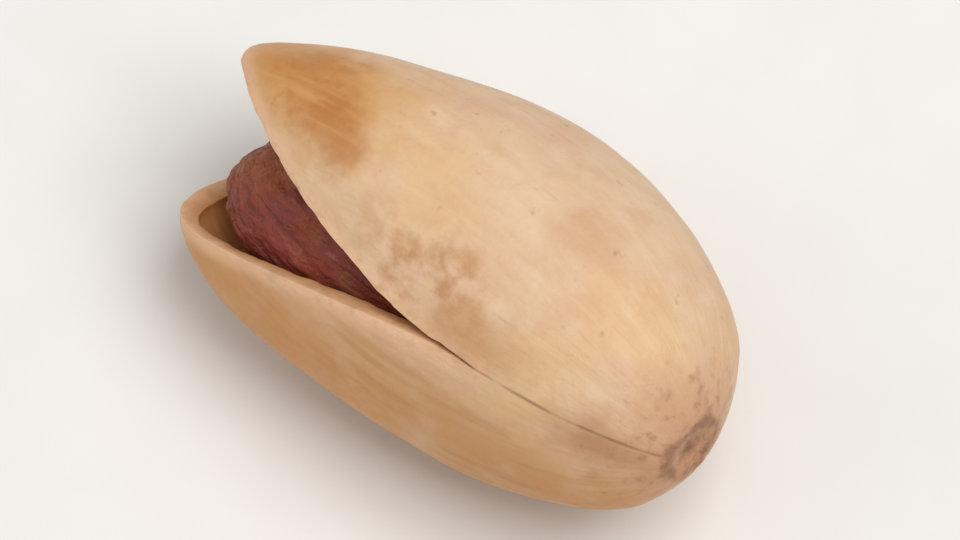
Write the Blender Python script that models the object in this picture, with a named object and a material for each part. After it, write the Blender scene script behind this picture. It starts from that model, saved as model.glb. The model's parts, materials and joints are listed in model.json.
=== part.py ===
"""A pistachio in its shell, lying on a table.

Two pieces: the shell, whose two halves are still joined round the stem end and gape at the tip,
and the kernel that lies in it. Both are shaped in the nut's own frame: +X towards the stem end,
-Y towards the ventral edge, where the split is longest, and +Z towards the upper half.
An empty then turns that frame to the way the nut lies, with the split facing forward and up,
so that the small flat spot under its belly has its middle at the origin.
"""

import math

import bmesh
import bpy
from mathutils import Euler, Matrix, Vector, noise

MM = 0.001

# The closed nut
NUT_LENGTH = 21.4 * MM
HALF_WIDTH_VENTRAL = 5.6 * MM
HALF_WIDTH_DORSAL = 6.75 * MM
HALF_THICKNESS = 6.05 * MM
WALL = 0.85 * MM
WALL_AT_TIP = 0.8 * MM
WALL_AT_STEM = 1.4 * MM

# The outline against an ellipse: narrower and much thinner at the tip, blunter at the stem end,
# and leaning to the ventral side at both ends
FULLNESS = 0.06
TIP_NARROWING = 0.25
TIP_THINNING = 0.64
THINNING_REACH = 0.18
STEM_BLUNTNESS = 0.18
BLUNTNESS_POWER = 8
TIP_LEAN = 1.0 * MM
STEM_LEAN = 2.2 * MM

# The split: where it ends along each edge, as a share of the length from the tip, and how it opens.
# The upper half bends away mostly near its tip, and the lower one more evenly
SPLIT_END_VENTRAL = 0.62
SPLIT_END_DORSAL = 0.37
GAPE_HALF = 3.1 * MM
GAPE_POWER_UPPER = 1.95
GAPE_POWER_LOWER = 1.55
HAIRLINE_HALF = 0.03 * MM

# Relief of the shell's outside
SWELL_HEIGHT = 0.16 * MM
SWELL_LENGTH = 5.0 * MM
RIDGE_HEIGHT = 0.03 * MM
RIDGE_COUNT = 7
RIDGE_DRIFT = 5.0
KEEL_HEIGHT = 0.14 * MM
KEEL_WIDTH = 0.7 * MM
SCAR_OFFSET = 0.8 * MM
SCAR_RADIUS = 1.2 * MM
SCAR_RING_HEIGHT = 0.18 * MM
SCAR_RING_WIDTH = 0.45 * MM
SCAR_DEPTH = 0.30 * MM

# The kernel, which has dropped after the lower half by a share of the way that this has bent
KERNEL_LENGTH = 18.4 * MM
KERNEL_HALF_WIDTH = 4.4 * MM
KERNEL_HALF_THICKNESS = 4.45 * MM
KERNEL_CENTRE = Vector((-0.5, 0.24, 0.0)) * MM
KERNEL_NARROWING = 0.10
KERNEL_THINNING = 0.28
KERNEL_DROP = 0.5
WRINKLE_HEIGHT = 0.10 * MM
WRINKLE_COUNT = 8
WRINKLE_DRIFT = 6.0
FURROW_DEPTH = 0.25 * MM
FURROW_WIDTH = 0.9 * MM
KERNEL_SWELL_HEIGHT = 0.16 * MM
KERNEL_SWELL_LENGTH = 3.5 * MM
KERNEL_SWELL_ORIGIN = Vector((7, 3, 1))

# How the nut lies, and how deep its belly is flattened where it rests
REST_ROLL = math.radians(-40.7)
REST_PITCH = math.radians(-1.7)
REST_FLAT_DEPTH = 0.16 * MM

SHELL_RINGS, SHELL_SEGMENTS = 40, 56
KERNEL_RINGS, KERNEL_SEGMENTS = 32, 48
ON_SUTURE = 1e-5
NORMAL_TURN_AT_ENDS = 0.4
SHARP_FROM = math.radians(50)

SHELL_COLOUR = "D9B791"
KERNEL_COLOUR = "6E3A2C"


def linear(hex_colour):
    """An sRGB hex colour as the linear RGBA that a shader takes."""
    parts = [int(hex_colour[i : i + 2], 16) / 255 for i in (0, 2, 4)]
    return [c / 12.92 if c < 0.04045 else ((c + 0.055) / 1.055) ** 2.4 for c in parts] + [1.0]


def bump(distance, width):
    """A smooth bump of height 1 at distance 0."""
    return math.exp(-((distance / width) ** 2))


def lean_at(share):
    """How far the middle line of the outline leans to the ventral side."""
    return TIP_LEAN * (1 - share) ** 3 + STEM_LEAN * share**3


def outward_at(direction):
    """The way that relief stands out of a long egg, which is broader across than along at its ends."""
    return Vector((NORMAL_TURN_AT_ENDS * direction.x, direction.y, direction.z)).normalized()


def egg_point(direction, length, half_widths, half_thickness, narrowing, thinning):
    """The point of an egg in a unit direction. half_widths are the ventral and the dorsal one."""
    share = (1 + direction.x) / 2
    full = 1 + FULLNESS + STEM_BLUNTNESS * share**BLUNTNESS_POWER
    wide = full - narrowing * (1 - share) ** 2
    thick = full - thinning * math.exp(-share / THINNING_REACH)
    half_width = half_widths[1] if direction.y > 0 else half_widths[0]
    across = direction.y * half_width * wide - lean_at(share)
    return Vector((direction.x * length / 2, across, direction.z * half_thickness * thick))


def outside_point(direction):
    """A point of the closed nut's smooth outside."""
    widths = (HALF_WIDTH_VENTRAL, HALF_WIDTH_DORSAL)
    return egg_point(direction, NUT_LENGTH, widths, HALF_THICKNESS, TIP_NARROWING, TIP_THINNING)


def inside_point(direction):
    """A point of the closed nut's cavity."""
    widths = (HALF_WIDTH_VENTRAL - WALL, HALF_WIDTH_DORSAL - WALL)
    length = NUT_LENGTH - WALL_AT_TIP - WALL_AT_STEM
    thickness = HALF_THICKNESS - WALL
    point = egg_point(direction, length, widths, thickness, TIP_NARROWING, TIP_THINNING)
    point.x += (WALL_AT_TIP - WALL_AT_STEM) / 2
    return point


def past_hinge(point):
    """How far a point lies beyond the line that joins the split's two ends, on the tip's side."""
    ventral = Vector((NUT_LENGTH * (SPLIT_END_VENTRAL - 0.5), -HALF_WIDTH_VENTRAL, 0))
    dorsal = Vector((NUT_LENGTH * (SPLIT_END_DORSAL - 0.5), HALF_WIDTH_DORSAL, 0))
    along = (dorsal - ventral).normalized()
    return (point - ventral).dot(Vector((-along.y, along.x, 0)))


def gape_at(point, half):
    """How far a half, 1 for the upper and -1 for the lower, is bent away from the suture's plane."""
    tip = Vector((-NUT_LENGTH / 2, -TIP_LEAN, 0))
    share = max(0.0, past_hinge(point)) / past_hinge(tip)
    return GAPE_HALF * share ** (GAPE_POWER_UPPER if half > 0 else GAPE_POWER_LOWER)


def relief_at(point, direction):
    """The height of the shell's relief over its smooth outside."""
    around = math.atan2(direction.z, -direction.y)
    girth = math.hypot(direction.y, direction.z)
    drift = noise.noise(point / SWELL_LENGTH)
    swell = SWELL_HEIGHT * drift
    ridges = RIDGE_HEIGHT * girth * math.cos(RIDGE_COUNT * around + RIDGE_DRIFT * drift)
    keel = KEEL_HEIGHT * bump(point.z, KEEL_WIDTH) * girth if past_hinge(point) < 0 else 0
    from_scar = math.hypot(point.y + STEM_LEAN + SCAR_OFFSET, point.z)
    ring = SCAR_RING_HEIGHT * bump(from_scar - SCAR_RADIUS, SCAR_RING_WIDTH)
    dimple = SCAR_DEPTH * bump(from_scar, SCAR_RADIUS * 0.6)
    return swell + ridges + keel + (ring - dimple if direction.x > 0 else 0)


def lengthwise_sphere(rings, segments):
    """A unit sphere whose poles are the tip and the stem end."""
    ball = bmesh.new()
    turn = Matrix.Rotation(math.radians(90), 4, "Y")
    bmesh.ops.create_uvsphere(ball, u_segments=segments, v_segments=rings, radius=1, matrix=turn)
    return ball


def cut_split(ball):
    """Cuts the sphere open along the suture, from one end of the split round the tip to the other."""

    def beyond(vert):
        return past_hinge(outside_point(vert.co)) > 0

    suture = {v for v in ball.verts if abs(v.co.z) < ON_SUTURE}
    cut = [
        edge
        for edge in ball.edges
        if set(edge.verts) <= suture and any(beyond(v) for v in edge.verts)
    ]
    bmesh.ops.split_edges(ball, edges=cut)


def half_of(vert):
    """1 for a point of the upper half, -1 for the lower, and 0 where the suture is closed."""
    heights = [face.calc_center_median().z for face in vert.link_faces]
    if min(heights) < 0 < max(heights):
        return 0
    return 1 if heights[0] > 0 else -1


def shape_wall(ball):
    """Moves the split sphere to the shell's outside and adds its cavity, joined along the rim."""
    halves = {v: half_of(v) for v in ball.verts}
    rim = {v for v in ball.verts if v.is_boundary}
    directions = {v: v.co.copy() for v in ball.verts}
    copied = bmesh.ops.duplicate(ball, geom=ball.verts[:] + ball.edges[:] + ball.faces[:])
    inner = {v: copied["vert_map"][v] for v in directions}
    copied_faces = [part for part in copied["geom"] if isinstance(part, bmesh.types.BMFace)]
    bmesh.ops.reverse_faces(ball, faces=copied_faces)
    for vert, direction in directions.items():
        outside = outside_point(direction)
        open_half = max(gape_at(outside, halves[vert]), HAIRLINE_HALF if vert in rim else 0)
        bent = Vector((0, 0, halves[vert] * open_half))
        vert.co = outside + outward_at(direction) * relief_at(outside, direction) + bent
        inner[vert].co = inside_point(direction) + bent
    bmesh.ops.bridge_loops(ball, edges=[e for e in ball.edges if e.is_boundary])


def flatten_belly(shell, down):
    """Cuts the shell's lowest part to a flat spot and returns the spot's middle."""
    lowest = max(v.co.dot(down) for v in shell.verts)
    bmesh.ops.bisect_plane(
        shell,
        geom=shell.verts[:] + shell.edges[:] + shell.faces[:],
        plane_co=down * (lowest - REST_FLAT_DEPTH),
        plane_no=down,
        clear_outer=True,
    )
    filled = bmesh.ops.holes_fill(shell, edges=[e for e in shell.edges if e.is_boundary], sides=0)
    return filled["faces"][0].calc_center_median_weighted()


def shell_mesh(down):
    """The shell as a mesh, and the middle of the flat spot under its belly."""
    shell = lengthwise_sphere(SHELL_RINGS, SHELL_SEGMENTS)
    cut_split(shell)
    shape_wall(shell)
    spot = flatten_belly(shell, down)
    return finished_mesh(shell, "shell"), spot


def kernel_mesh():
    """The kernel: a slim egg with lengthwise wrinkles in its skin and a furrow along each edge."""
    kernel = lengthwise_sphere(KERNEL_RINGS, KERNEL_SEGMENTS)
    widths = (KERNEL_HALF_WIDTH, KERNEL_HALF_WIDTH)
    for vert in kernel.verts:
        direction = vert.co.copy()
        girth = math.hypot(direction.y, direction.z)
        around = math.atan2(direction.z, direction.y)
        point = egg_point(
            direction,
            KERNEL_LENGTH,
            widths,
            KERNEL_HALF_THICKNESS,
            KERNEL_NARROWING,
            KERNEL_THINNING,
        )
        drift = noise.noise(point / KERNEL_SWELL_LENGTH + KERNEL_SWELL_ORIGIN)
        wrinkles = WRINKLE_HEIGHT * math.cos(WRINKLE_COUNT * around + WRINKLE_DRIFT * drift)
        furrow = FURROW_DEPTH * bump(point.z, FURROW_WIDTH)
        height = KERNEL_SWELL_HEIGHT * drift + girth * (wrinkles - furrow)
        dropped = Vector((0, 0, -KERNEL_DROP * gape_at(point, -1)))
        vert.co = point + outward_at(direction) * height + KERNEL_CENTRE + dropped
    return finished_mesh(kernel, "kernel")


def finished_mesh(shape, name):
    """A mesh from a bmesh, smooth but for its real edges."""
    mesh = bpy.data.meshes.new(name)
    shape.to_mesh(mesh)
    shape.free()
    mesh.shade_smooth()
    mesh.set_sharp_from_angle(angle=SHARP_FROM)
    return mesh


def natural_material(name, hex_colour, roughness):
    """A dull organic finish."""
    material = bpy.data.materials.new(name)
    material.use_nodes = True
    shader = material.node_tree.nodes["Principled BSDF"]
    shader.inputs["Base Color"].default_value = linear(hex_colour)
    shader.inputs["Roughness"].default_value = roughness
    shader.inputs["Metallic"].default_value = 0.0
    return material


def add_piece(name, mesh, material, parent):
    """An object for one piece of the nut, carried by the empty that lays it down."""
    piece = bpy.data.objects.new(name, mesh)
    mesh.materials.append(material)
    piece.parent = parent
    bpy.context.scene.collection.objects.link(piece)
    return piece


def build():
    """Clears the scene and lays the nut on its flat spot at the origin."""
    for old in list(bpy.data.objects):
        bpy.data.objects.remove(old)
    lie = Euler((REST_ROLL, REST_PITCH, 0))
    turn = lie.to_matrix()
    down = turn.transposed() @ Vector((0, 0, -1))
    shell, spot = shell_mesh(down)

    nut = bpy.data.objects.new("nut_as_it_lies", None)
    nut.rotation_euler = lie
    nut.location = -(turn @ spot)
    bpy.context.scene.collection.objects.link(nut)
    add_piece("shell", shell, natural_material("pistachio_shell", SHELL_COLOUR, 0.55), nut)
    add_piece("kernel", kernel_mesh(), natural_material("kernel_skin", KERNEL_COLOUR, 0.5), nut)


build()
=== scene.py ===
"""The looks of a pistachio in its half-open shell, lying on its belly.

The shell and the kernel are copies of the CAD nodes, smoothed and given their surface in relief.
Patterns are laid out in millimetres in the nut's own frame: +X towards the stem end, -Y towards
the edge with the long split, and +Z towards the upper half.
"""

import json
import math

import bpy
from mathutils import Euler, Matrix, Vector
from mathutils.kdtree import KDTree

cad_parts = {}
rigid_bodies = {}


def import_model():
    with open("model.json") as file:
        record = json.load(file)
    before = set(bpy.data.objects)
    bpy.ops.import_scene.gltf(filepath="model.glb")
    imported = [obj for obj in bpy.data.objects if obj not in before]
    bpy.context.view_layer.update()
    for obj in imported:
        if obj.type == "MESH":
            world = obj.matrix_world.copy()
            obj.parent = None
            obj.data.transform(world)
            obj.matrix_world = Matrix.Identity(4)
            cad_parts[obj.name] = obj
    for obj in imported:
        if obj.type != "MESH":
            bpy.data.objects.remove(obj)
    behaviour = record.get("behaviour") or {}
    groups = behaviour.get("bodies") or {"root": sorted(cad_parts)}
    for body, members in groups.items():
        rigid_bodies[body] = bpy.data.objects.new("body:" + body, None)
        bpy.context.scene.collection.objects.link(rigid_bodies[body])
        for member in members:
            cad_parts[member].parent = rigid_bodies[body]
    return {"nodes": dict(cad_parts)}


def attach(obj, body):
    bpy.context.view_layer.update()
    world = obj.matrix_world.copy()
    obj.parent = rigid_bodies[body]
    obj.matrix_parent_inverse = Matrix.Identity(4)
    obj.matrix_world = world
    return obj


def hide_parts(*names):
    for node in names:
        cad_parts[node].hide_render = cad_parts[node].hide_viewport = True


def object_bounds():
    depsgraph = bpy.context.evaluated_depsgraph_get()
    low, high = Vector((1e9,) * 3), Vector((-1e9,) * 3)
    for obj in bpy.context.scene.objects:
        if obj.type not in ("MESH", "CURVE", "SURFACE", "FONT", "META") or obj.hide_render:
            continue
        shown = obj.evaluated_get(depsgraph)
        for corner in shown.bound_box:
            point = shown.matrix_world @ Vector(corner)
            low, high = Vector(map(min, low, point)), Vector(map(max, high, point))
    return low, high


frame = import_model()
CAD_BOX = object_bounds()

MM = 0.001

# How the nut lies: its own frame in the part's
NUT_CENTRE = Vector((-0.8321, -0.1644, 6.0263)) * MM
NUT_TURN = Euler((math.radians(-40.7), math.radians(-1.7), 0))

# The nut in its own frame, in millimetres
NUT_LENGTH = 21.4
MEAN_RADIUS = 6.0
SCAR_CENTRE = Vector((10.3, -3.0, 0.0))
NEAR_EDGE_Y = -6.2
UNDERSIDE_Z = -6.2

# The nut's middle line leans towards the scar with this power of the way along it
LEAN_POWER = 3.0

# How the copies of the CAD nodes are made fine
MERGE_WITHIN = 0.001 * MM
QUAD_ANGLE = math.radians(50)
RIM_ANGLE = math.radians(45)
RIM_CREASE = 0.55
ON_RIM = 0.999
SHELL_LEVELS = 2
KERNEL_LEVELS = 3

# Where relief may show: all over the scar, gone by its reach, and only above the flat spot
SCAR_RADIUS = 0.6 * MM
SCAR_REACH = 2.0 * MM
FLAT_SPOT_TOP = 0.1 * MM
REST_CLEARANCE = 0.8 * MM

# The camera, the floor and the surround
VIEW_AZIMUTH = math.radians(34.9)
VIEW_ELEVATION = math.radians(65)
VIEW_WIDTH = 33.5 * MM
LENS = 400
SENSOR = 36
CLIP_START = 0.01
FLOOR_SIZE = 2.0
SURROUND_STRENGTH = 0.38


def linear(hex_colour):
    """An sRGB hex colour as the linear RGBA that a shader takes."""
    parts = [int(hex_colour[i : i + 2], 16) / 255 for i in (0, 2, 4)]
    return [c / 12.92 if c < 0.04045 else ((c + 0.055) / 1.055) ** 2.4 for c in parts] + [1.0]


def nut_frame(stretch=1.0):
    """The nut's own frame in millimetres, as a matrix, drawn out along the nut by stretch."""
    return Matrix.LocRotScale(NUT_CENTRE, NUT_TURN, Vector((stretch, 1, 1)) * MM)


# Making the pieces


def only(piece):
    """Selects a piece and nothing else."""
    bpy.ops.object.select_all(action="DESELECT")
    piece.select_set(True)
    bpy.context.view_layer.objects.active = piece


def copy_of_node(node, name):
    """A new piece from a CAD node's mesh, its loose triangles merged back into a skin of quads."""
    piece = bpy.data.objects.new(name, frame["nodes"][node].data.copy())
    piece.data.materials.clear()
    bpy.context.scene.collection.objects.link(piece)
    only(piece)
    bpy.ops.mesh.customdata_custom_splitnormals_clear()
    bpy.ops.object.mode_set(mode="EDIT")
    bpy.ops.mesh.select_all(action="SELECT")
    bpy.ops.mesh.remove_doubles(threshold=MERGE_WITHIN)
    bpy.ops.mesh.tris_convert_to_quads(face_threshold=QUAD_ANGLE, shape_threshold=QUAD_ANGLE)
    bpy.ops.object.mode_set(mode="OBJECT")
    return piece


def crease_rim(piece):
    """Marks and creases the two corners of the shell's broken edge."""
    only(piece)
    bpy.ops.object.mode_set(mode="EDIT")
    bpy.ops.mesh.select_mode(type="EDGE")
    bpy.ops.mesh.select_all(action="DESELECT")
    bpy.ops.mesh.edges_select_sharp(sharpness=RIM_ANGLE)
    bpy.ops.mesh.mark_sharp()
    bpy.ops.transform.edge_crease(value=RIM_CREASE)
    bpy.ops.mesh.select_mode(type="FACE")
    bpy.ops.object.mode_set(mode="OBJECT")


def faces_within_rim(piece, seed):
    """The numbers of the faces joined to a seed face without crossing the rim's corners."""
    only(piece)
    bpy.ops.object.mode_set(mode="EDIT")
    bpy.ops.mesh.select_all(action="DESELECT")
    bpy.ops.object.mode_set(mode="OBJECT")
    piece.data.polygons[seed].select = True
    bpy.ops.object.mode_set(mode="EDIT")
    bpy.ops.mesh.select_linked(delimit={"SHARP"})
    bpy.ops.object.mode_set(mode="OBJECT")
    return {face.index for face in piece.data.polygons if face.select}


def set_group(piece, name, weights):
    """A vertex group from one weight for each vertex."""
    group = piece.vertex_groups.new(name=name)
    for number, weight in enumerate(weights):
        group.add([number], weight, "REPLACE")


def weights_of(piece, name):
    """The weight of each vertex in a group."""
    group = piece.vertex_groups[name].index
    vertices = piece.data.vertices
    return [next((g.weight for g in v.groups if g.group == group), 0.0) for v in vertices]


def set_attribute(piece, name, values):
    """A float attribute from one value for each vertex, for a material to read."""
    attribute = piece.data.attributes.new(name, "FLOAT", "POINT")
    attribute.data.foreach_set("value", values)


def finish_with(piece, kind, name, **settings):
    """Adds a modifier to a piece and applies it."""
    modifier = piece.modifiers.new(name, kind)
    for key, value in settings.items():
        setattr(modifier, key, value)
    only(piece)
    bpy.ops.object.modifier_apply(modifier=name)


def roughen(piece, name, size, height, stretch=1.0, group="", creased=False):
    """Raises and sinks a surface by half of height in mm, in lumps of a size in mm."""
    lumps = bpy.data.textures.new(name, "CLOUDS")
    lumps.noise_scale = size
    lumps.noise_depth = 2
    lumps.noise_type = "HARD_NOISE" if creased else "SOFT_NOISE"
    place = bpy.data.objects.new(name, None)
    place.matrix_world = nut_frame(stretch)
    bpy.context.scene.collection.objects.link(place)
    bpy.context.view_layer.update()
    finish_with(
        piece,
        "DISPLACE",
        name,
        texture=lumps,
        texture_coords="OBJECT",
        texture_coords_object=place,
        strength=height * MM,
        vertex_group=group,
    )
    bpy.data.objects.remove(place)


def smooth_step(value, start, end):
    """0 below start, 1 above end, and smooth between."""
    share = min(1.0, max(0.0, (value - start) / (end - start)))
    return share * share * (3 - 2 * share)


def around_scar(piece):
    """A group of the stem scar, where the shell broke from its stalk."""
    scar = nut_frame() @ SCAR_CENTRE
    distances = [(vert.co - scar).length for vert in piece.data.vertices]
    set_group(piece, "scar", [1 - smooth_step(d, SCAR_RADIUS, SCAR_REACH) for d in distances])


def free_of_floor(piece):
    """A group of all that stands clear of the flat spot, so that relief leaves the spot flat."""
    heights = [vert.co.z for vert in piece.data.vertices]
    set_group(piece, "raised", [smooth_step(z, FLAT_SPOT_TOP, REST_CLEARANCE) for z in heights])


def mark_regions(piece):
    """Groups for the shell's rim and its cavity, told apart by the rim's sharp corners."""
    top = max(piece.data.polygons, key=lambda face: face.center.z).index
    inmost = min(piece.data.polygons, key=lambda face: (face.center - NUT_CENTRE).length).index
    outside = faces_within_rim(piece, top)
    cavity = faces_within_rim(piece, inmost)
    faces = piece.data.polygons
    rim_verts = {v for f in faces if f.index not in outside | cavity for v in f.vertices}
    cavity_verts = {v for f in faces if f.index in cavity for v in f.vertices}
    count = range(len(piece.data.vertices))
    set_group(piece, "rim", [float(v in rim_verts) for v in count])
    set_group(piece, "cavity", [float(v in cavity_verts) for v in count])


def measure_from_rim(piece):
    """Attributes for the material: the way from the rim in mm, and what is rim or cavity."""
    on_rim = weights_of(piece, "rim")
    rim = [vert for vert, weight in zip(piece.data.vertices, on_rim) if weight > ON_RIM]
    tree = KDTree(len(rim))
    for number, vert in enumerate(rim):
        tree.insert(vert.co, number)
    tree.balance()
    set_attribute(piece, "from_rim", [tree.find(vert.co)[2] / MM for vert in piece.data.vertices])
    set_attribute(piece, "on_rim", on_rim)
    set_attribute(piece, "in_cavity", weights_of(piece, "cavity"))


def shell_piece():
    """The shell: one hard wall, smooth in the large, with faint lengthwise grain and a worn rim."""
    shell = copy_of_node("shell", "nut_shell")
    crease_rim(shell)
    mark_regions(shell)
    finish_with(shell, "SUBSURF", "smooth", levels=SHELL_LEVELS, render_levels=SHELL_LEVELS)
    free_of_floor(shell)
    around_scar(shell)
    measure_from_rim(shell)
    roughen(shell, "soft_dents", size=2.4, height=0.14, stretch=1.6, group="raised")
    roughen(shell, "lengthwise_grain", size=0.8, height=0.045, stretch=7.0, group="raised")
    roughen(shell, "worn_rim", size=0.7, height=0.12, group="rim")
    roughen(shell, "broken_scar", size=0.5, height=0.22, group="scar", creased=True)
    shell.data.shade_smooth()
    return shell


def kernel_piece():
    """The kernel in its papery skin, which has shrunk into lengthwise wrinkles."""
    kernel = copy_of_node("kernel", "nut_kernel")
    finish_with(kernel, "SUBSURF", "smooth", levels=KERNEL_LEVELS, render_levels=KERNEL_LEVELS)
    roughen(kernel, "lengthwise_wrinkles", size=0.9, height=0.26, stretch=5.0, creased=True)
    roughen(kernel, "fine_wrinkles", size=0.4, height=0.05, stretch=2.5, creased=True)
    kernel.data.shade_smooth()
    return kernel


# Making the materials


def add_node(tree, kind, inputs, **settings):
    """Adds a node to a material, with its settings, and with its inputs set or linked."""
    made = tree.nodes.new(kind)
    for name, value in settings.items():
        setattr(made, name, value)
    for socket, value in inputs.items():
        if isinstance(value, bpy.types.NodeSocket):
            tree.links.new(value, made.inputs[socket])
        else:
            made.inputs[socket].default_value = value
    return made


def new_material(name):
    """An empty material, its node tree and its main shader."""
    material = bpy.data.materials.new(name)
    material.use_nodes = True
    return material, material.node_tree, material.node_tree.nodes["Principled BSDF"]


def nut_millimetres(tree):
    """Places on the nut in its own frame, in millimetres."""
    place = add_node(tree, "ShaderNodeTexCoord", {})
    return add_node(
        tree,
        "ShaderNodeMapping",
        {
            "Vector": place.outputs["Object"],
            "Location": NUT_CENTRE,
            "Rotation": NUT_TURN,
            "Scale": (MM, MM, MM),
        },
        vector_type="TEXTURE",
    ).outputs[0]


def lengthwise(tree, place, stretch):
    """Places for a pattern that runs from the tip to the stem scar, drawn out by stretch."""
    apart = add_node(tree, "ShaderNodeSeparateXYZ", {0: place})
    share = add_node(
        tree,
        "ShaderNodeMath",
        {0: apart.outputs[0], 1: 1 / NUT_LENGTH, 2: 0.5},
        operation="MULTIPLY_ADD",
    )
    lean = add_node(tree, "ShaderNodeMath", {0: share.outputs[0], 1: LEAN_POWER}, operation="POWER")
    level = add_node(
        tree,
        "ShaderNodeMath",
        {0: lean.outputs[0], 1: -SCAR_CENTRE.y, 2: apart.outputs[1]},
        operation="MULTIPLY_ADD",
    )
    across = add_node(tree, "ShaderNodeCombineXYZ", {1: level.outputs[0], 2: apart.outputs[2]})
    around = add_node(tree, "ShaderNodeVectorMath", {0: across.outputs[0]}, operation="NORMALIZE")
    girth = add_node(
        tree, "ShaderNodeVectorMath", {0: around.outputs[0], 3: MEAN_RADIUS}, operation="SCALE"
    )
    along = add_node(tree, "ShaderNodeMath", {0: apart.outputs[0], 1: stretch}, operation="DIVIDE")
    drawn = add_node(tree, "ShaderNodeCombineXYZ", {0: along.outputs[0]})
    return add_node(
        tree, "ShaderNodeVectorMath", {0: girth.outputs[0], 1: drawn.outputs[0]}, operation="ADD"
    ).outputs[0]


def patches(tree, place, size, low, high, strength, detail=2.0, seed=0.0):
    """A mask of soft patches of a size in mm: 0 where the noise is under low, strength over high.

    A strength is a number, or another mask that tells where the patches may show.
    """
    noise = add_node(
        tree,
        "ShaderNodeTexNoise",
        {"Vector": place, "W": seed, "Scale": 1 / size, "Detail": detail, "Roughness": 0.55},
        noise_dimensions="4D",
    )
    return add_node(
        tree,
        "ShaderNodeMapRange",
        {0: noise.outputs[0], 1: low, 2: high, 3: 0.0, 4: strength},
        interpolation_type="SMOOTHSTEP",
    ).outputs[0]


def spot(tree, place, centre, reach, strength, core=0.3):
    """A mask strongest at a place on the nut and gone at its reach, in mm along each axis.

    Within the core, which is a share of the reach, it has its full strength.
    """
    near = add_node(
        tree,
        "ShaderNodeMapping",
        {"Vector": place, "Location": centre, "Scale": reach},
        vector_type="TEXTURE",
    )
    distance = add_node(tree, "ShaderNodeVectorMath", {0: near.outputs[0]}, operation="LENGTH")
    return add_node(
        tree,
        "ShaderNodeMapRange",
        {0: distance.outputs["Value"], 1: core, 2: 1.0, 3: strength, 4: 0.0},
        interpolation_type="SMOOTHSTEP",
    ).outputs[0]


def strayed(tree, place, size, by):
    """Places that stray by up to half of a distance in mm, which makes spots on them ragged."""
    noise = add_node(
        tree, "ShaderNodeTexNoise", {"Vector": place, "Scale": 1 / size, "Detail": 5.0}
    )
    centred = add_node(
        tree,
        "ShaderNodeVectorMath",
        {0: noise.outputs[1], 1: (0.5, 0.5, 0.5)},
        operation="SUBTRACT",
    )
    return add_node(
        tree,
        "ShaderNodeVectorMath",
        {0: centred.outputs[0], 1: (by, by, by), 2: place},
        operation="MULTIPLY_ADD",
    ).outputs[0]


def band(tree, value, middle, core, reach, strength):
    """A mask that is strongest where a value is within core of a middle and gone beyond reach."""
    off = add_node(tree, "ShaderNodeMath", {0: value, 1: middle}, operation="SUBTRACT")
    distance = add_node(tree, "ShaderNodeMath", {0: off.outputs[0]}, operation="ABSOLUTE")
    return add_node(
        tree,
        "ShaderNodeMapRange",
        {0: distance.outputs[0], 1: core, 2: reach, 3: strength, 4: 0.0},
        interpolation_type="SMOOTHSTEP",
    ).outputs[0]


def layered(tree, ground, layers):
    """Lays colours over a ground colour, each as strongly as its mask says."""
    for mask, colour in layers:
        mixed = add_node(
            tree,
            "ShaderNodeMix",
            {0: mask, 6: ground, 7: linear(colour)},
            data_type="RGBA",
        )
        ground = mixed.outputs[2]
    return ground


def relief(tree, layers, strength=1.0):
    """Bumps laid one on another, from pairs of a height mask and a depth in mm."""
    normal = None
    for height, depth in layers:
        inputs = {"Height": height, "Distance": depth * MM, "Strength": strength}
        if normal:
            inputs["Normal"] = normal
        normal = add_node(tree, "ShaderNodeBump", inputs).outputs[0]
    return normal


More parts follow.
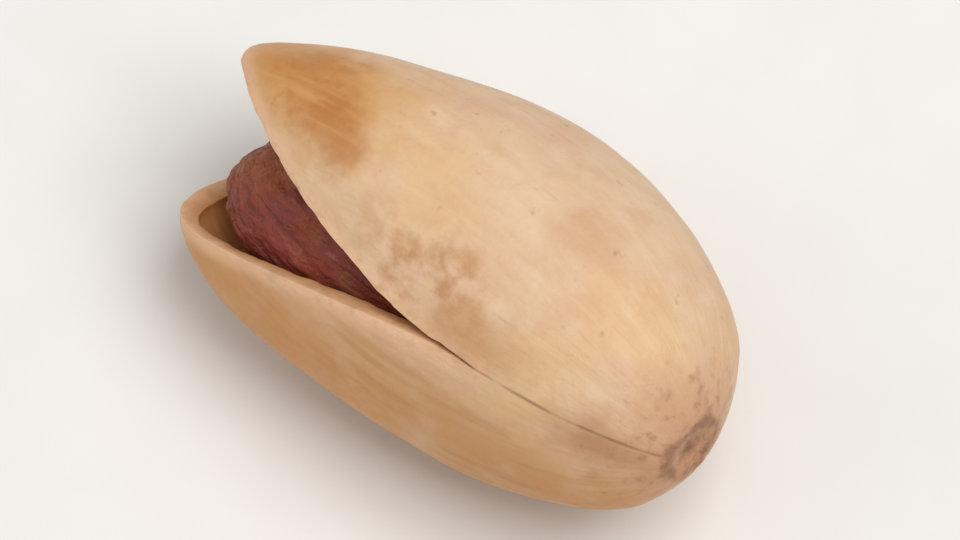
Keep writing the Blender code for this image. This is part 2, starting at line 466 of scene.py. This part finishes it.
def shell_finish():
    """Dried pistachio shell: a hard woody wall, tan and silky outside, smooth and darker inside."""
    material, tree, shader = new_material("dry_woody_nutshell")
    place = nut_millimetres(tree)
    ragged = strayed(tree, place, size=1.6, by=2.2)
    frayed = strayed(tree, place, size=0.5, by=1.0)
    grain = lengthwise(tree, place, stretch=7.0)
    apart = add_node(tree, "ShaderNodeSeparateXYZ", {0: place})
    from_rim = add_node(tree, "ShaderNodeAttribute", {}, attribute_name="from_rim").outputs["Fac"]
    cavity = add_node(tree, "ShaderNodeAttribute", {}, attribute_name="in_cavity").outputs["Fac"]
    on_rim = add_node(tree, "ShaderNodeAttribute", {}, attribute_name="on_rim").outputs["Fac"]

    # The stem end: a small brown scar with a darker broken ring, in a speckled patch
    uneven = strayed(tree, place, size=0.9, by=1.3)
    from_scar = add_node(
        tree, "ShaderNodeVectorMath", {0: uneven, 1: SCAR_CENTRE}, operation="DISTANCE"
    ).outputs["Value"]
    around_end = band(tree, from_scar, middle=0.0, core=1.4, reach=4.4, strength=0.65)
    speckled_end = patches(tree, place, 0.5, 0.48, 0.72, around_end, detail=5.0, seed=15.0)
    broken = patches(tree, place, 0.9, 0.36, 0.60, 0.65, detail=4.0, seed=51.0)
    ring = band(tree, from_scar, middle=1.15, core=0.02, reach=0.36, strength=broken)

    # The closed suture from the split's ends to about 1.4 mm from the scar's middle: a fine line,
    # fainter on the far side
    on_near_side = band(
        tree, apart.outputs[1], middle=NEAR_EDGE_Y, core=4.7, reach=20.0, strength=0.65
    )
    clear_of_scar = band(
        tree, from_scar, middle=12.0, core=10.4, reach=10.8, strength=on_near_side
    )
    suture = band(
        tree, apart.outputs[2], middle=0.0, core=0.0, reach=0.10, strength=clear_of_scar
    )
    suture = patches(tree, place, 1.3, 0.18, 0.62, suture, seed=9.0)

    # The under half is painted darker and more orange, in streaks, as painted shade and warm bounce
    # light; above the split the shell is mottled
    shaded_under_half = band(tree, apart.outputs[2], middle=UNDERSIDE_Z, core=2.7, reach=6.5, strength=0.95)
    shaded_under_half = patches(tree, place, 3.0, 0.06, 0.54, shaded_under_half, detail=4.0, seed=53.0)
    streaks_and_shade_under = patches(tree, grain, 0.7, 0.45, 0.74, shaded_under_half, detail=4.0, seed=27.0)
    near_mouth = spot(tree, ragged, (0.0, -5.7, 1.8), (4.8, 2.1, 2.5), 0.9, core=0.2)
    mottled = patches(tree, place, 1.0, 0.38, 0.64, near_mouth, detail=5.0, seed=29.0)

    # The stain on the tip is finely speckled
    stain = spot(tree, ragged, (-7.0, -3.0, 4.5), (3.6, 2.8, 2.6), 0.45, core=0.4)
    stain_specks = patches(tree, place, 0.45, 0.46, 0.70, stain, detail=6.0, seed=47.0)
    stain_streaks = patches(tree, grain, 0.45, 0.50, 0.72, stain, detail=4.0, seed=49.0)

    # The layers from the ground up. Patches have a size, the noise's limits and a strength; spots
    # have a centre, a reach and a strength
    outside = layered(
        tree,
        linear("DFBC97"),
        [
            # Large soft patches, then small ones
            (patches(tree, place, 5.0, 0.42, 0.62, 0.75), "E2C0A0"),
            (patches(tree, place, 3.6, 0.46, 0.64, 0.55, seed=3.0), "DBAF91"),
            (patches(tree, place, 4.4, 0.50, 0.66, 0.6, seed=7.0), "DDB582"),
            (patches(tree, place, 1.4, 0.46, 0.66, 0.34, detail=4.0, seed=21.0), "D3A47C"),
            (patches(tree, place, 1.1, 0.52, 0.70, 0.25, detail=4.0, seed=25.0), "EAD0AF"),
            # Lengthwise grain
            (patches(tree, grain, 0.60, 0.44, 0.72, 0.22, detail=4.0), "CDA277"),
            (patches(tree, grain, 0.30, 0.50, 0.72, 0.14, detail=4.0, seed=5.0), "F0D9B8"),
            # The stain on the tip, from its wide pale part to its dark middle
            (spot(tree, ragged, (-9.4, -1.6, 3.4), (4.0, 4.6, 3.6), 0.8), "D19C64"),
            (spot(tree, ragged, (-6.5, -3.2, 4.7), (4.4, 3.0, 3.0), 0.85), "D3A063"),
            (spot(tree, ragged, (-8.9, -2.2, 4.2), (2.4, 2.0, 2.0), 0.8, core=0.1), "C58A4B"),
            (spot(tree, ragged, (-7.6, -2.4, 4.8), (2.8, 2.4, 2.2), 0.8, core=0.1), "BE7E40"),
            (spot(tree, frayed, (-6.1, -3.8, 4.3), (2.2, 1.6, 1.8), 0.8, core=0.1), "B5713A"),
            (spot(tree, frayed, (-4.9, -4.6, 3.7), (1.5, 1.1, 1.5), 0.8, core=0.1), "BA7A42"),
            (stain_specks, "B2702F"),
            (stain_streaks, "DDAA70"),
            # A tan patch on the belly of the upper half, and the mottling by the split
            (spot(tree, ragged, (4.4, -3.3, 5.1), (2.4, 1.7, 2.0), 0.45), "CB9B70"),
            (mottled, "BE8A5C"),
            # The browner stem end
            (spot(tree, ragged, (10.0, -3.2, 0.2), (4.8, 4.2, 3.8), 0.7), "C99674"),
            # Below the seam by the stem end: partly mottling, partly a painted shadow of a
            # neighbouring nut
            (spot(tree, ragged, (8.0, -5.4, -0.4), (3.0, 1.7, 1.6), 0.75, core=0.1), "B07C58"),
            # The under half: painted shade and warm bounce light, in streaks
            (shaded_under_half, "CB9056"),
            (streaks_and_shade_under, "BB834C"),
            # Small specks all over
            (patches(tree, place, 0.6, 0.65, 0.82, 0.5, seed=11.0), "96684A"),
            (patches(tree, grain, 0.42, 0.66, 0.82, 0.35, seed=13.0), "A27A58"),
            # The scar and the suture
            (speckled_end, "9C6648"),
            (band(tree, from_scar, middle=0.0, core=0.6, reach=2.2, strength=0.5), "B98363"),
            (ring, "84533A"),
            (band(tree, from_scar, middle=0.0, core=0.1, reach=0.8, strength=0.6), "84573D"),
            (suture, "8F5E3C"),
            # The paler rim, partly its own paler broken edge and partly a painted highlight on its
            # rounding; browner by the split's near end, with small marks on its lip
            (band(tree, from_rim, middle=0.0, core=0.15, reach=0.75, strength=0.7), "EBBF9A"),
            (spot(tree, frayed, (2.8, -6.1, 0.8), (3.4, 1.5, 1.6), 0.6, core=0.1), "BD8859"),
            (patches(tree, place, 0.5, 0.46, 0.72, on_rim, detail=4.0, seed=45.0), "CDA074"),
        ],
    )
    inside = layered(
        tree,
        linear("D09A63"),
        [
            (patches(tree, place, 2.6, 0.42, 0.66, 0.7, seed=17.0), "B77743"),
            (patches(tree, grain, 0.8, 0.45, 0.75, 0.4, seed=19.0), "DDB07A"),
        ],
    )
    colour = add_node(
        tree, "ShaderNodeMix", {0: cavity, 6: outside, 7: inside}, data_type="RGBA"
    ).outputs[2]
    tree.links.new(colour, shader.inputs["Base Color"])

    polish = add_node(
        tree,
        "ShaderNodeMapRange",
        {0: patches(tree, place, 1.2, 0.3, 0.7, 1.0, detail=4.0, seed=23.0), 3: 0.40, 4: 0.58},
    )
    tree.links.new(polish.outputs[0], shader.inputs["Roughness"])
    shader.inputs["IOR"].default_value = 1.53
    shader.inputs["Specular IOR Level"].default_value = 0.28
    shader.inputs["Subsurface Weight"].default_value = 0.12
    shader.inputs["Subsurface Radius"].default_value = (1.0, 0.6, 0.35)
    shader.inputs["Subsurface Scale"].default_value = 0.6 * MM
    normal = relief(
        tree,
        [
            (patches(tree, grain, 0.5, 0.25, 0.75, 1.0, detail=4.0, seed=2.0), 0.018),
            (patches(tree, place, 0.3, 0.25, 0.75, 1.0, detail=3.0, seed=4.0), 0.012),
            (patches(tree, place, 0.9, 0.25, 0.75, 1.0, detail=3.0, seed=6.0), 0.035),
            (speckled_end, -0.05),
            (suture, -0.06),
        ],
        strength=band(tree, cavity, middle=0.0, core=0.2, reach=1.2, strength=1.0),
    )
    tree.links.new(normal, shader.inputs["Normal"])
    return material


def kernel_finish():
    """Kernel skin: a thin papery seed coat, wine brown with green showing through, softly shiny."""
    material, tree, shader = new_material("papery_seed_coat")
    place = nut_millimetres(tree)
    ragged = strayed(tree, place, size=1.0, by=1.2)
    grain = lengthwise(tree, ragged, stretch=5.0)
    colour = layered(
        tree,
        linear("94422E"),
        [
            (patches(tree, place, 2.4, 0.46, 0.64, 0.6, seed=31.0), "8A3F3C"),
            (patches(tree, ragged, 2.8, 0.46, 0.62, 0.8, seed=33.0), "A45A2C"),
            (patches(tree, ragged, 2.6, 0.58, 0.72, 0.6, seed=35.0), "8E7436"),
            (patches(tree, grain, 0.5, 0.50, 0.68, 0.6, detail=4.0, seed=37.0), "4E2018"),
            (patches(tree, grain, 0.35, 0.58, 0.72, 0.4, detail=4.0, seed=39.0), "BC7F5E"),
        ],
    )
    tree.links.new(colour, shader.inputs["Base Color"])
    shader.inputs["Roughness"].default_value = 0.48
    shader.inputs["IOR"].default_value = 1.47
    shader.inputs["Specular IOR Level"].default_value = 0.35
    shader.inputs["Subsurface Weight"].default_value = 0.1
    shader.inputs["Subsurface Radius"].default_value = (1.0, 0.4, 0.3)
    shader.inputs["Subsurface Scale"].default_value = 0.5 * MM
    normal = relief(
        tree,
        [
            (patches(tree, grain, 0.45, 0.3, 0.7, 1.0, detail=4.0, seed=41.0), 0.05),
            (patches(tree, place, 0.2, 0.3, 0.7, 1.0, detail=3.0, seed=43.0), 0.02),
        ],
    )
    tree.links.new(normal, shader.inputs["Normal"])
    return material


def floor_finish():
    """Matt white paper board under the nut."""
    material, tree, shader = new_material("matt_paper_board")
    place = add_node(tree, "ShaderNodeTexCoord", {})
    fibre = patches(tree, place.outputs["Object"], size=4 * MM, low=0.3, high=0.7, strength=0.5)
    colour = layered(tree, linear("EFEDE9"), [(fibre, "EBE9E4")])
    tree.links.new(colour, shader.inputs["Base Color"])
    shader.inputs["Roughness"].default_value = 0.9
    return material


# Setting the stage


def add_floor():
    """A plain pale floor under the nut."""
    bpy.ops.object.select_all(action="DESELECT")
    bpy.ops.mesh.primitive_plane_add(size=FLOOR_SIZE, location=(0, 0, 0))
    floor = bpy.context.object
    floor.name = "floor"
    floor.data.materials.append(floor_finish())


def add_light(name, size, power, place, target):
    """A soft square lamp that faces the nut."""
    bpy.ops.object.light_add(type="AREA", location=place)
    lamp = bpy.context.object
    lamp.name = name
    lamp.data.shape = "SQUARE"
    lamp.data.size = size
    lamp.data.energy = power
    lamp.rotation_euler = (Vector(place) - target).to_track_quat("Z", "Y").to_euler()


def add_world():
    """An even white surround."""
    world = bpy.data.worlds.new("soft_studio")
    world.use_nodes = True
    background = world.node_tree.nodes["Background"]
    background.inputs["Color"].default_value = linear("FFFFFF")
    background.inputs["Strength"].default_value = SURROUND_STRENGTH
    bpy.context.scene.world = world


def add_camera(target):
    """The camera, as high over the nut and as far round it as in the photograph."""
    back = Vector(
        (
            math.sin(VIEW_AZIMUTH) * math.cos(VIEW_ELEVATION),
            -math.cos(VIEW_AZIMUTH) * math.cos(VIEW_ELEVATION),
            math.sin(VIEW_ELEVATION),
        )
    )
    distance = VIEW_WIDTH * LENS / SENSOR
    bpy.ops.object.camera_add(location=target + back * distance)
    camera = bpy.context.object
    camera.rotation_euler = back.to_track_quat("Z", "Y").to_euler()
    camera.data.lens = LENS
    camera.data.sensor_width = SENSOR
    camera.data.clip_start = CLIP_START
    bpy.context.scene.camera = camera


def place_piece(piece, node, material):
    """Gives a piece its material and lets it stand for its CAD node."""
    piece.data.materials.append(material)
    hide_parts(node)
    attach(piece, "root")


shell = shell_piece()
kernel = kernel_piece()
place_piece(shell, "shell", shell_finish())
place_piece(kernel, "kernel", kernel_finish())

middle = (CAD_BOX[0] + CAD_BOX[1]) / 2
add_floor()
add_world()
add_light("key", size=0.26, power=1.05, place=(0.12, 0.03, 0.36), target=middle)
add_light("fill", size=0.40, power=0.35, place=(-0.30, -0.20, 0.24), target=middle)
add_camera(middle)
bpy.context.scene.view_settings.view_transform = "Standard"
